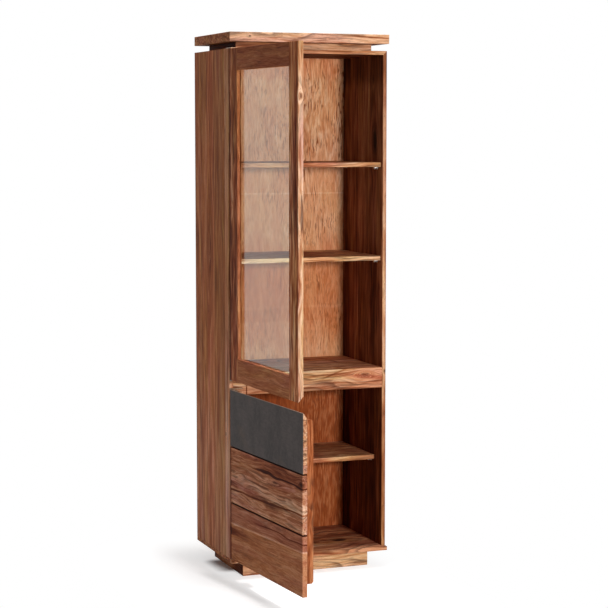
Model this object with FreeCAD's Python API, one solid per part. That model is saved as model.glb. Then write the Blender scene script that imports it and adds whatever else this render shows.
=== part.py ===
"""Display cabinet of solid wood: a glazed door above, a boarded door below, both shown open.

Lengths are in millimetres and angles in degrees. X runs to the right, Y to the back and Z up.
The origin lies on the floor under the middle of the cabinet.
"""
import FreeCAD
import Part

import os

# carcass
WIDTH = 590.0
HEIGHT = 1900.0
SIDE_DEPTH = 380.0
LIP = 20.0
PANEL = 14.0
TOP_BOARD = 32.0
NECK_HEIGHT = 24.0
NECK_INSET = 42.0
NECK_BOARD = 20.0
PLINTH_HEIGHT = 60.0
PLINTH_SIDE_INSET = 57.0
PLINTH_FRONT_INSET = 27.0
PLINTH_BACK_INSET = 32.0
PLINTH_BOARD = 18.0
FLOOR_TOP = 722.0
RAIL_HEIGHT = 72.0
RAIL_BOARD = 20.0
RAIL_TENON = 6.0
RAIL_SHOULDER = 5.0
BACK_PANEL = 6.0
BACK_SETBACK = 2.0
BACK_GROOVE = 5.0
ARRIS = 0.8

# shelves and their pins
SHELF = 16.0
SHELF_PLAY = 1.0
UPPER_SHELF_SETBACK = 16.0
LOWER_SHELF_SETBACK = 64.0
TOP_SHELF_HEIGHT = 1453.0
MIDDLE_SHELF_HEIGHT = 1121.0
LOWER_SHELF_HEIGHT = 395.0
SHELF_PIN_RADIUS = 2.5
SHELF_PIN_HEAD_RADIUS = 3.4
SHELF_PIN_STANDOUT = 14.0
SHELF_PIN_DEPTH = 8.0
SHELF_PIN_INSET = 32.0

# doors
DOOR_REVEAL = 1.0
DOOR_GAP = 2.0
UPPER_DOOR = 18.0
LOWER_DOOR = 17.0
UPPER_DOOR_BOTTOM = 706.0
UPPER_DOOR_OPEN = 87.0
LOWER_DOOR_OPEN = 85.5
LOWER_DOOR_TOP = 672.5
DOOR_END_GAP = 1.0
STILE = 73.0
TOP_RAIL = 75.0
BOTTOM_RAIL = 80.0
TENON = 30.0
TENON_BOARD = 6.0
TENON_SHOULDER = 15.0
BEVEL_RISE = 20.0
BEVEL_STOP = 70.0
REBATE = 8.0
REBATE_LIP = 12.0
GLASS = 4.0
GLASS_PLAY = 1.0
BEAD_WIDTH = 7.0
BOARD_GROOVE = 4.0
BOTTOM_BOARD_EXTRA = 3.2
GROOVE_DEPTH = 9.0
SLATE = 2.5
BATTEN = 30.0
BATTEN_WIDTH = 62.0
BATTEN_TOP_INSET = 26.0
BATTEN_BOTTOM_INSET = 38.0
BATTEN_FREE_INSET = 18.0
BATTEN_HINGE_INSET = 62.0
BATTEN_BEVEL = 6.0

# pivots
PIVOT_EDGE = 5.0
PIVOT_FACE = 5.5
PIVOT_RADIUS = 2.0
PIVOT_CLEARANCE = 0.05
PIVOT_REACH = 6.0
BORE_PLAY = 0.5
BORE_EXTRA = 2.0
PLATE = 2.5
PLATE_LENGTH = 44.0
PLATE_MARGIN = 4.0
PLATE_CORNER = 2.0
TOP_PLATE_BACK = 30.0
TONGUE_DEPTH = 16.0
TONGUE_INSET = 2.0
CROSS_PIN_RADIUS = 1.5
LEAF_LENGTH = 50.0
LEAF_WIDTH = 9.0
LEAF_MARGIN = 1.0
WASHER = 0.7
WASHER_RADIUS = 3.9
OVERRUN = 5.0

# places that follow from the sizes above
HALF = WIDTH / 2
INNER = HALF - PANEL
LIP_FRONT = -(SIDE_DEPTH + LIP) / 2
FRONT = LIP_FRONT + LIP
BACK = FRONT + SIDE_DEPTH
BACK_FACE = BACK - BACK_SETBACK - BACK_PANEL
BASE_TOP = PLINTH_HEIGHT + PANEL
NECK_TOP = HEIGHT - TOP_BOARD
CARCASS_TOP = NECK_TOP - NECK_HEIGHT
CEILING = CARCASS_TOP - PANEL
FLOOR_UNDER = FLOOR_TOP - PANEL
RAIL_UNDER = FLOOR_TOP - RAIL_HEIGHT
DOOR_LEFT = -HALF + DOOR_REVEAL
DOOR_RIGHT = HALF - DOOR_REVEAL
DOOR_BACK = FRONT - DOOR_GAP
UPPER_DOOR_TOP = CARCASS_TOP - DOOR_END_GAP
LOWER_DOOR_BOTTOM = BASE_TOP + DOOR_END_GAP
UPPER_FACE = DOOR_BACK - UPPER_DOOR
LOWER_FACE = DOOR_BACK - LOWER_DOOR
PIVOT_X = DOOR_LEFT + PIVOT_EDGE
PLATE_LEFT = PIVOT_X - PLATE_MARGIN
PLATE_RIGHT = PLATE_LEFT + PLATE_LENGTH
TONGUE_LEFT = -INNER + TONGUE_INSET
BORE_RADIUS = PIVOT_RADIUS + PIVOT_CLEARANCE

UP = FreeCAD.Vector(0, 0, 1)
RIGHT = FreeCAD.Vector(1, 0, 0)
BACKWARD = FreeCAD.Vector(0, 1, 0)

UPPER_STILES = ("upper_door_hinge_stile", "upper_door_free_stile")
UPPER_RAILS = ("upper_door_top_rail", "upper_door_bottom_rail")
LOWER_BOARDS = ("lower_door_bottom_board", "lower_door_middle_board", "lower_door_top_board")


def point(x, y, z):
    """A place in the cabinet's frame."""
    return FreeCAD.Vector(x, y, z)


def block(x0, x1, y0, y1, z0, z1):
    """A square-edged board between two corners."""
    return Part.makeBox(x1 - x0, y1 - y0, z1 - z0, point(x0, y0, z0))


def board(x0, x1, y0, y1, z0, z1, arris=ARRIS):
    """A board between two corners with every arris eased."""
    raw = block(x0, x1, y0, y1, z0, z1)
    return raw.makeChamfer(arris, raw.Edges)


def prism(outline, sweep):
    """A flat outline pushed along a direction."""
    face = Part.Face(Part.makePolygon(outline + outline[:1]))
    return face.extrude(sweep)


def ease(shape, wanted, arris=ARRIS):
    """Chamfers the edges whose middle satisfies a test."""
    chosen = [edge for edge in shape.Edges if wanted(edge.BoundBox)]
    return shape.makeChamfer(arris, chosen)


def swing(shape, face, angle):
    """Turns a closed door's piece to the angle at which it stands open."""
    opened = shape.copy()
    opened.rotate(point(PIVOT_X, face + PIVOT_FACE, 0), UP, -angle)
    return opened


NODES = {}


def build_top():
    """The top board and the four neck boards below it."""
    NODES["top_board"] = board(-HALF, HALF, LIP_FRONT, BACK, NECK_TOP, HEIGHT)
    left, right = -HALF + NECK_INSET, HALF - NECK_INSET
    front, back = FRONT + NECK_INSET, BACK - NECK_INSET
    levels = (CARCASS_TOP, NECK_TOP)
    NODES["neck_front"] = board(left, right, front, front + NECK_BOARD, *levels)
    NODES["neck_back"] = board(left, right, back - NECK_BOARD, back, *levels)
    ends = (front + NECK_BOARD, back - NECK_BOARD)
    NODES["neck_left"] = board(left, left + NECK_BOARD, *ends, *levels)
    NODES["neck_right"] = board(right - NECK_BOARD, right, *ends, *levels)


def rail_tenon(sign):
    """The stub tenon at one end of the divider rail, with shoulders all round."""
    ends = sorted((sign * INNER, sign * (INNER + RAIL_TENON)))
    front, back = FRONT + RAIL_SHOULDER, FRONT + RAIL_BOARD - RAIL_SHOULDER
    return block(*ends, front, back, RAIL_UNDER + RAIL_SHOULDER, FLOOR_TOP - RAIL_SHOULDER)


def side_panel(sign):
    """One side, mitred to the top panel, grooved for the back and mortised for the rail."""
    outline = [point(sign * HALF, FRONT, BASE_TOP), point(sign * INNER, FRONT, BASE_TOP)]
    outline += [point(sign * INNER, FRONT, CEILING), point(sign * HALF, FRONT, CARCASS_TOP)]
    panel = prism(outline, BACKWARD * SIDE_DEPTH)
    panel = ease(panel, lambda box: box.ZLength > SIDE_DEPTH)
    inside = sorted((sign * (INNER - OVERRUN), sign * (INNER + BACK_GROOVE)))
    panel = panel.cut(block(*inside, BACK_FACE, BACK_FACE + BACK_PANEL, 0, CEILING))
    return panel.cut(rail_tenon(sign))


def build_carcass():
    """The panels that make the box, its floor, rail and back."""
    NODES["left_side"] = side_panel(-1)
    NODES["right_side"] = side_panel(1)
    outline = [point(-HALF, FRONT, CARCASS_TOP), point(HALF, FRONT, CARCASS_TOP)]
    outline += [point(INNER, FRONT, CEILING), point(-INNER, FRONT, CEILING)]
    NODES["carcass_top"] = ease(prism(outline, BACKWARD * SIDE_DEPTH), lambda box: box.XLength > SIDE_DEPTH)
    NODES["base_panel"] = board(-HALF, HALF, LIP_FRONT, BACK, PLINTH_HEIGHT, BASE_TOP)
    rail_back = FRONT + RAIL_BOARD
    rail = board(-INNER, INNER, FRONT, rail_back, RAIL_UNDER, FLOOR_TOP)
    NODES["divider_rail"] = rail.fuse([rail_tenon(-1), rail_tenon(1)])
    NODES["divider_floor"] = board(-INNER, INNER, rail_back, BACK_FACE, FLOOR_UNDER, FLOOR_TOP)
    reach = INNER + BACK_GROOVE
    NODES["back_panel"] = block(-reach, reach, BACK_FACE, BACK_FACE + BACK_PANEL, BASE_TOP, CEILING)


def build_plinth():
    """The recessed plinth and the brace across its middle."""
    left, right = -HALF + PLINTH_SIDE_INSET, HALF - PLINTH_SIDE_INSET
    front, back = FRONT + PLINTH_FRONT_INSET, BACK - PLINTH_BACK_INSET
    levels = (0, PLINTH_HEIGHT)
    NODES["plinth_front"] = board(left, right, front, front + PLINTH_BOARD, *levels)
    NODES["plinth_back"] = board(left, right, back - PLINTH_BOARD, back, *levels)
    ends = (front + PLINTH_BOARD, back - PLINTH_BOARD)
    NODES["plinth_left"] = board(left, left + PLINTH_BOARD, *ends, *levels)
    NODES["plinth_right"] = board(right - PLINTH_BOARD, right, *ends, *levels)
    NODES["plinth_brace"] = board(-PLINTH_BOARD / 2, PLINTH_BOARD / 2, *ends, *levels)


def shelf_pin(sign, y, top):
    """A stout-headed pin in one side with its upper edge at the shelf's underside."""
    inward = RIGHT * -sign
    at = point(sign * INNER, y, top - SHELF_PIN_HEAD_RADIUS)
    shank = Part.makeCylinder(SHELF_PIN_RADIUS, SHELF_PIN_DEPTH, at - inward * SHELF_PIN_DEPTH, inward)
    name = "left_side" if sign < 0 else "right_side"
    NODES[name] = NODES[name].cut(shank)
    head = Part.makeCylinder(SHELF_PIN_HEAD_RADIUS, SHELF_PIN_STANDOUT, at, inward)
    return head.fuse(shank)


def build_shelves():
    """The three shelves, each on four pins."""
    shelves = (("upper_shelf_top", TOP_SHELF_HEIGHT, UPPER_SHELF_SETBACK),
               ("upper_shelf_bottom", MIDDLE_SHELF_HEIGHT, UPPER_SHELF_SETBACK),
               ("lower_shelf", LOWER_SHELF_HEIGHT, LOWER_SHELF_SETBACK))
    reach = INNER - SHELF_PLAY
    pins = []
    for name, top, setback in shelves:
        front, back = FRONT + setback, BACK_FACE - SHELF_PLAY
        NODES[name] = board(-reach, reach, front, back, top - SHELF, top)
        for y in (front + SHELF_PIN_INSET, back - SHELF_PIN_INSET):
            pins += [shelf_pin(sign, y, top - SHELF) for sign in (-1, 1)]
    NODES["shelf_pins"] = Part.makeCompound(pins)


def plate(face, z, back, tongue=None):
    """A pivot plate from in front of the pivot to a back edge, with an optional tongue behind it."""
    front = face + PIVOT_FACE - PLATE_MARGIN
    flat = block(PLATE_LEFT, PLATE_RIGHT, front, back, z, z + PLATE)
    flat = ease(flat, lambda box: box.ZLength > 0 and box.YMax < back, PLATE_CORNER)
    if tongue is not None:
        flat = flat.fuse(block(TONGUE_LEFT, PLATE_RIGHT, back, back + tongue, z, z + PLATE)).removeSplitter()
    return flat


def pivot(face, z, upward, plate_name):
    """A pivot pin pressed into its plate and reaching into a door."""
    reach = PLATE + DOOR_END_GAP + PLATE + PIVOT_REACH
    low = z if upward else z + PLATE - reach
    pin = Part.makeCylinder(PIVOT_RADIUS, reach, point(PIVOT_X, face + PIVOT_FACE, low), UP)
    NODES[plate_name] = NODES[plate_name].cut(pin)
    return pin


def washer(face, z):
    """A thin bearing ring that a door's lower leaf turns on."""
    at = point(PIVOT_X, face + PIVOT_FACE, z)
    return Part.makeCylinder(WASHER_RADIUS, WASHER, at).cut(Part.makeCylinder(PIVOT_RADIUS, WASHER, at))


def build_pivots():
    """The fixed halves of the door pivots, with their pins, washers and cross pin."""
    upper_z = UPPER_DOOR_BOTTOM - DOOR_END_GAP - PLATE
    lower_z = LOWER_DOOR_TOP + DOOR_END_GAP
    base_z = BASE_TOP - PLATE
    NODES["top_pivot_plate"] = plate(UPPER_FACE, CARCASS_TOP, FRONT + TOP_PLATE_BACK)
    NODES["upper_rail_pivot_plate"] = plate(UPPER_FACE, upper_z, FRONT, TONGUE_DEPTH)
    NODES["lower_rail_pivot_plate"] = plate(LOWER_FACE, lower_z, FRONT, TONGUE_DEPTH)
    NODES["base_pivot_plate"] = plate(LOWER_FACE, base_z, FRONT - DOOR_GAP)
    for name in ("upper_rail_pivot_plate", "lower_rail_pivot_plate"):
        NODES["divider_rail"] = NODES["divider_rail"].cut(NODES[name])
    NODES["base_panel"] = NODES["base_panel"].cut(NODES["base_pivot_plate"])
    pins = [pivot(UPPER_FACE, CARCASS_TOP, False, "top_pivot_plate"),
            pivot(UPPER_FACE, upper_z, True, "upper_rail_pivot_plate"),
            pivot(LOWER_FACE, lower_z, False, "lower_rail_pivot_plate"),
            pivot(LOWER_FACE, base_z, True, "base_pivot_plate")]
    NODES["pivot_pins"] = Part.makeCompound(pins)
    washers = [washer(UPPER_FACE, upper_z + PLATE), washer(LOWER_FACE, BASE_TOP)]
    NODES["pivot_washers"] = Part.makeCompound(washers)
    at = point((TONGUE_LEFT + PLATE_RIGHT) / 2, FRONT + TONGUE_DEPTH / 2, RAIL_UNDER)
    NODES["rail_cross_pin"] = Part.makeCylinder(CROSS_PIN_RADIUS, upper_z + PLATE - RAIL_UNDER, at)
    for name in ("divider_rail", "upper_rail_pivot_plate", "lower_rail_pivot_plate"):
        NODES[name] = NODES[name].cut(NODES["rail_cross_pin"])


def leaf(face, z):
    """A door's pivot leaf, let into its end, with a running bore for the pin."""
    front = face + SLATE
    left = DOOR_LEFT + LEAF_MARGIN
    flat = block(left, left + LEAF_LENGTH, front, front + LEAF_WIDTH, z, z + PLATE)
    return ease(flat, lambda box: box.ZLength > 0, LEAF_MARGIN)


def fit_leaf(name, holder, face, z, inward):
    """Lets a leaf into a door piece and bores both for the pin."""
    body = leaf(face, z)
    at = point(PIVOT_X, face + PIVOT_FACE, z)
    NODES[name] = body.cut(Part.makeCylinder(BORE_RADIUS, PLATE, at))
    depth = PLATE + PIVOT_REACH + BORE_EXTRA
    start = at if inward.z > 0 else at + UP * PLATE
    bore = Part.makeCylinder(PIVOT_RADIUS + BORE_PLAY, depth, start, inward)
    NODES[holder] = NODES[holder].cut(body).cut(bore)


def build_upper_door():
    """The framed glass door, closed: stiles, tenoned rails, pane and beads."""
    low, high = UPPER_DOOR_BOTTOM, UPPER_DOOR_TOP
    face, back = UPPER_FACE, DOOR_BACK
    left, right = DOOR_LEFT + STILE, DOOR_RIGHT - STILE
    NODES["upper_door_hinge_stile"] = board(DOOR_LEFT, left, face, back, low, high)
    NODES["upper_door_free_stile"] = board(right, DOOR_RIGHT, face, back, low, high)
    middle = (face + back) / 2
    cheeks = (middle - TENON_BOARD / 2, middle + TENON_BOARD / 2)
    for name, z0, z1 in zip(UPPER_RAILS, (high - TOP_RAIL, low), (high, low + BOTTOM_RAIL)):
        tenon = block(left - TENON, right + TENON, *cheeks, z0 + TENON_SHOULDER * 2, z1 - TENON_SHOULDER)
        NODES[name] = board(left, right, face, back, z0, z1).fuse(tenon)
        for stile in UPPER_STILES:
            NODES[stile] = NODES[stile].cut(tenon)
    bevel = [point(0, face, low), point(0, back + OVERRUN, low - OVERRUN)]
    rise = BEVEL_RISE * (UPPER_DOOR + OVERRUN) / UPPER_DOOR
    bevel = [point(left, spot.y, spot.z) for spot in bevel] + [point(left, back + OVERRUN, low + rise)]
    wedge = prism(bevel, RIGHT * (DOOR_RIGHT - left + OVERRUN))
    for name in ("upper_door_bottom_rail", "upper_door_free_stile"):
        NODES[name] = NODES[name].cut(wedge)
    build_glazing(left, right, low + BOTTOM_RAIL, high - TOP_RAIL)


def build_glazing(left, right, low, high):
    """The pane in its rebate, with four beads behind it."""
    seat = UPPER_FACE + REBATE_LIP
    rebate = block(left - REBATE, right + REBATE, seat, DOOR_BACK + OVERRUN, low - REBATE, high + REBATE)
    for name in UPPER_STILES + UPPER_RAILS:
        NODES[name] = NODES[name].cut(rebate)
    inset = REBATE - GLASS_PLAY
    pane = (left - inset, right + inset, seat, seat + GLASS, low - inset, high + inset)
    NODES["upper_door_glass"] = block(*pane)
    depth = (seat + GLASS, DOOR_BACK)
    outer_left, outer_right = left - REBATE, right + REBATE
    outer_low, outer_high = low - REBATE, high + REBATE
    beads = [board(outer_left, outer_left + BEAD_WIDTH, *depth, outer_low, outer_high, ARRIS / 2),
             board(outer_right - BEAD_WIDTH, outer_right, *depth, outer_low, outer_high, ARRIS / 2)]
    across = (outer_left + BEAD_WIDTH, outer_right - BEAD_WIDTH)
    beads.append(board(*across, *depth, outer_low, outer_low + BEAD_WIDTH, ARRIS / 2))
    beads.append(board(*across, *depth, outer_high - BEAD_WIDTH, outer_high, ARRIS / 2))
    NODES["upper_door_beads"] = Part.makeCompound(beads)


def build_lower_door():
    """The boarded door, closed: three lapped boards, the slate on the top one, and two battens."""
    low, high = LOWER_DOOR_BOTTOM, LOWER_DOOR_TOP
    face, back = LOWER_FACE, DOOR_BACK
    pitch = (high - low + BOARD_GROOVE) / len(LOWER_BOARDS)
    starts = [low, low + pitch + BOTTOM_BOARD_EXTRA, high - pitch + BOARD_GROOVE]
    ends = [start - BOARD_GROOVE for start in starts[1:]] + [high]
    for name, z0, z1 in zip(LOWER_BOARDS, starts, ends):
        front = face + SLATE if name == "lower_door_top_board" else face
        NODES[name] = board(DOOR_LEFT, DOOR_RIGHT, front, back, z0, z1)
        if name != "lower_door_top_board":
            across = (DOOR_LEFT + ARRIS, DOOR_RIGHT - ARRIS)
            lap = block(*across, face + GROOVE_DEPTH, back - ARRIS, z1 - ARRIS, z1 + BOARD_GROOVE)
            NODES[name] = NODES[name].fuse(lap).removeSplitter()
    NODES["slate_panel"] = board(DOOR_LEFT, DOOR_RIGHT, face, face + SLATE, starts[-1], high, ARRIS / 2)
    start = DOOR_LEFT + BEVEL_STOP
    thick = LOWER_DOOR - SLATE
    fall = BEVEL_RISE * (thick + OVERRUN) / thick
    outline = [point(start, face + SLATE, high), point(start, back + OVERRUN, high + OVERRUN)]
    outline.append(point(start, back + OVERRUN, high - fall))
    wedge = prism(outline, RIGHT * (DOOR_RIGHT - start + OVERRUN))
    NODES["lower_door_top_board"] = NODES["lower_door_top_board"].cut(wedge)
    build_battens(low, high)


def build_battens(low, high):
    """The two battens behind the boards, bevelled at their ends."""
    back = DOOR_BACK + BATTEN
    ends = (low + BATTEN_BOTTOM_INSET, high - BATTEN_TOP_INSET)
    hinge_left = DOOR_LEFT + BATTEN_HINGE_INSET
    free_right = DOOR_RIGHT - BATTEN_FREE_INSET
    spans = (("lower_door_hinge_batten", hinge_left), ("lower_door_free_batten", free_right - BATTEN_WIDTH))
    for name, left in spans:
        raw = block(left, left + BATTEN_WIDTH, DOOR_BACK, back, *ends)
        NODES[name] = ease(raw, lambda box: box.YMin > back - ARRIS and box.ZLength < ARRIS, BATTEN_BEVEL)


def hang_doors():
    """Fits the pivot leaves, then stands both doors open."""
    fit_leaf("upper_door_top_leaf", "upper_door_hinge_stile", UPPER_FACE, UPPER_DOOR_TOP - PLATE, -UP)
    fit_leaf("upper_door_bottom_leaf", "upper_door_hinge_stile", UPPER_FACE, UPPER_DOOR_BOTTOM, UP)
    fit_leaf("lower_door_top_leaf", "lower_door_top_board", LOWER_FACE, LOWER_DOOR_TOP - PLATE, -UP)
    fit_leaf("lower_door_bottom_leaf", "lower_door_bottom_board", LOWER_FACE, LOWER_DOOR_BOTTOM, UP)
    for name in NODES:
        if name.startswith("upper_door"):
            NODES[name] = swing(NODES[name], UPPER_FACE, UPPER_DOOR_OPEN)
        elif name.startswith("lower_door") or name == "slate_panel":
            NODES[name] = swing(NODES[name], LOWER_FACE, LOWER_DOOR_OPEN)


def save_parts():
    """Writes every piece to a file of its own."""
    os.makedirs("parts", exist_ok=True)
    for name, shape in NODES.items():
        shape.exportStep(os.path.join("parts", name + ".step"))


build_top()
build_carcass()
build_plinth()
build_shelves()
build_pivots()
build_upper_door()
build_lower_door()
hang_doors()
save_parts()
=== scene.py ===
"""Display cabinet of streaked hardwood with both doors open, dressed for a plain studio picture.

Lengths are in metres. X runs to the right, Y to the back and Z up.
"""
import logging
import math
from dataclasses import dataclass
from enum import Enum
from typing import Sequence

import bpy
from mathutils import Matrix, Vector


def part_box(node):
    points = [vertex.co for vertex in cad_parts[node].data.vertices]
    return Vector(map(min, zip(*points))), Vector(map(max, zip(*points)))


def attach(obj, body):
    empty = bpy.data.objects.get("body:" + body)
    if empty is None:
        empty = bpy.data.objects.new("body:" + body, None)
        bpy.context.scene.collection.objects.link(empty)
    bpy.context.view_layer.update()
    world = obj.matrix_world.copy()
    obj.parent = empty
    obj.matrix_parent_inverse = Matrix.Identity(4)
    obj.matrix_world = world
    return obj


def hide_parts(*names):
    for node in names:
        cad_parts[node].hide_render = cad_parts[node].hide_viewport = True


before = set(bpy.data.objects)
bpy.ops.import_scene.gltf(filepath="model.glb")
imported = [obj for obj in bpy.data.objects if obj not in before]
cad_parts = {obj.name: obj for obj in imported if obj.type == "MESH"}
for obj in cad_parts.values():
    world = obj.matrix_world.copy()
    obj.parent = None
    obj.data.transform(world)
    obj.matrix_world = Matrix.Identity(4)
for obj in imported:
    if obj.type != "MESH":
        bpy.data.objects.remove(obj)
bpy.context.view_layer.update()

LOG = logging.getLogger("cabinet")

Triple = tuple[float, float, float]
Colour = tuple[float, float, float]
Pair = tuple[float, float]
Stops = tuple[tuple[float, Colour], ...]
Socket = bpy.types.NodeSocket
Material = bpy.types.Material
Piece = bpy.types.Object

RIGHT, BACK, UP = (1.0, 0.0, 0.0), (0.0, 1.0, 0.0), (0.0, 0.0, 1.0)
LEFT, FRONT, DOWN = (-1.0, 0.0, 0.0), (0.0, -1.0, 0.0), (0.0, 0.0, -1.0)
PLAIN = (1.0, 1.0, 1.0)

# how far apart in the log two boards and two staves lie, and how far its heart turns from board to board
LOG_STEPS = (1.37, 2.11, 3.73)
LOG_SIZE = 5.0
STAVE_JUMP = (0.83, 0.37, 1.71)
HEART_TURN = 2.4

# where the painted shade below the divider begins, and which faces count as looking one way for painted light and
# shade
DIVIDER_SPAN = (0.66, 0.74)
FACING_SPAN = (0.3, 0.8)

# how far a knot bends the grain and where its dark middle fades, in sizes of the knot
KNOT_REACH = 3.0
KNOT_SPAN = (0.25, 1.0)

# the part of a noise that most looks are drawn from
NOISE_RANGE = (0.3, 0.7)

# how far up a face has to look to count as a piece's top
TOP_FACING = 0.9


class Grain(Enum):
    """The way a board's grain runs."""

    SIDEWAYS = 0
    BACKWARD = 1
    UPRIGHT = 2


class Holder(Enum):
    """What a set of nodes belongs to: where Blender keeps it, and the type of its last node."""

    MATERIAL = ("materials", "OutputMaterial")
    WORLD = ("worlds", "OutputWorld")


@dataclass(frozen=True)
class Hinge:
    """A door's upright axis and the angle at which the door stands open."""

    axis: Pair
    turn: float

    def opened(self) -> Matrix:
        """Gives the matrix that takes a place on the closed door to the open one."""
        there = Matrix.Translation((*self.axis, 0.0))
        return there @ Matrix.Rotation(-self.turn, 4, "Z") @ there.inverted()


UPPER_HINGE = Hinge(axis=(-0.289, -0.1945), turn=math.radians(87.0))
LOWER_HINGE = Hinge(axis=(-0.289, -0.1935), turn=math.radians(85.5))


class Bench:
    """A material or a world that is put together node by node."""

    def __init__(self, name: str, holder: Holder = Holder.MATERIAL) -> None:
        """Starts an empty material or world.

        Args:
            name: Its name.
            holder: Which of the two it is.
        """
        store, self.last = holder.value
        self.product = getattr(bpy.data, store).new(name)
        self.product.use_nodes = True
        self.tree = self.product.node_tree
        self.tree.nodes.clear()

    def add(self, kind: str, *entries: object, **settings: object) -> bpy.types.Node:
        """Adds one node.

        Args:
            kind: The node's type, without the common prefix.
            entries: What its first inputs get, in order.
            settings: What other inputs get, by name with underscores for spaces, and properties of the node.

        Returns:
            The new node.
        """
        node = self.tree.nodes.new("ShaderNode" + kind)
        for key, value in settings.items():
            socket = node.inputs.get(key.replace("_", " "))
            if socket is None:
                setattr(node, key, value)
            else:
                self.plug(value, socket)
        for entry, socket in zip(entries, node.inputs):
            self.plug(entry, socket)
        return node

    def plug(self, value: object, socket: Socket) -> None:
        """Feeds a socket with another socket's output or with a plain value.

        Args:
            value: An output socket, a number or a colour.
            socket: The input that takes it.
        """
        if isinstance(value, Socket):
            self.tree.links.new(value, socket)
        elif socket.type == "RGBA" and len(value) == 3:
            socket.default_value = (*value, 1.0)
        else:
            socket.default_value = value

    def spot(self) -> Socket:
        """Gives the place on the piece, in the frame's metres."""
        return self.add("TexCoord").outputs["Object"]

    def sum(self, how: str, first: object, second: object = 0.0) -> Socket:
        """Does one sum on two numbers."""
        return self.add("Math", first, second, operation=how).outputs[0]

    def arrow(self, how: str, first: object, second: object = (0.0, 0.0, 0.0)) -> Socket:
        """Does one sum on two vectors, with a number as the result for a length or a dot product."""
        node = self.add("VectorMath", first, second, operation=how)
        return node.outputs["Value" if how in ("LENGTH", "DOT_PRODUCT") else "Vector"]

    def stretch(self, arrow: object, factor: object) -> Socket:
        """Makes a vector longer or shorter by a factor."""
        return self.add("VectorMath", arrow, operation="SCALE", Scale=factor).outputs[0]

    def cloud(self, at: Socket, scale: Triple, detail: float, rough: float = 0.5, output: str = "Fac") -> Socket:
        """Samples smooth noise that repeats so often per metre along each axis, with so many finer layers."""
        at = self.arrow("MULTIPLY", at, scale)
        return self.add("TexNoise", Vector=at, Scale=1.0, Detail=detail, Roughness=rough).outputs[output]

    def spread(self, value: object, low: float, high: float, to_low: object = 0.0, to_high: object = 1.0) -> Socket:
        """Maps the range from low to high smoothly onto another one."""
        entries = (value, low, high, to_low, to_high)
        return self.add("MapRange", *entries, interpolation_type="SMOOTHSTEP").outputs[0]

    def ramp(self, value: object, stops: Stops) -> Socket:
        """Turns a number into a colour.

        Args:
            value: The number or socket.
            stops: Places between 0 and 1 with their colours.

        Returns:
            The colour's socket.
        """
        node = self.add("ValToRGB", value)
        points = node.color_ramp.elements
        while len(points) < len(stops):
            points.new(1.0)
        for point, (place, colour) in zip(points, stops):
            point.position = place
            point.color = (*colour, 1.0)
        return node.outputs[0]

    def blend(self, share: object, first: object, second: object, how: str = "MIX") -> Socket:
        """Blends two colours and takes a share of the second."""
        return self.add("MixRGB", share, first, second, blend_type=how).outputs[0]

    def relief(self, height: Socket, strength: float, depth: float) -> Socket:
        """Turns heights into a bumped normal, with the bump's depth in metres."""
        return self.add("Bump", Strength=strength, Distance=depth, Height=height).outputs[0]

    def shader(self, kind: str, *entries: object, **settings: object) -> Socket:
        """Adds a shader, with its inputs in order or by name."""
        return self.add(kind, *entries, **settings).outputs[0]

    def seen(self) -> Socket:
        """Tells the rays that make the picture from those that only carry light.

        Returns:
            The socket, 1 for camera, glossy and transmitted rays and 0 for others.
        """
        path = self.add("LightPath").outputs
        seen = self.sum("MAXIMUM", path["Is Camera Ray"], path["Is Glossy Ray"])
        return self.sum("MAXIMUM", seen, path["Is Transmission Ray"])

    def done(self, shader: Socket) -> Material | bpy.types.World:
        """Connects the last shader's output and hands the material or world over."""
        self.add(self.last, Surface=shader)
        return self.product


@dataclass(frozen=True)
class Knot:
    """A knot: its place, its size across and along the grain, its darkness and how far it bends the grain."""

    at: Triple
    wide: float
    long: float
    depth: float = 0.7
    push: float = 0.012


@dataclass(frozen=True)
class Stripe:
    """A long stripe of another tone in a board; some stripes are painted shade or painted light.

    It lies at a place across the grain and may begin and end along it. Its sides are soft and wavy, and
    the figure may be calmer in it, or livelier where calm is negative.
    """

    across: Triple
    at: float
    wide: float
    tone: float
    tint: Colour = PLAIN
    soft: float = 0.5
    wave: float = 1.0
    along: Triple = UP
    start: float = -9.0
    end: float = 9.0
    fade: float = 0.08
    calm: float = 0.0


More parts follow.
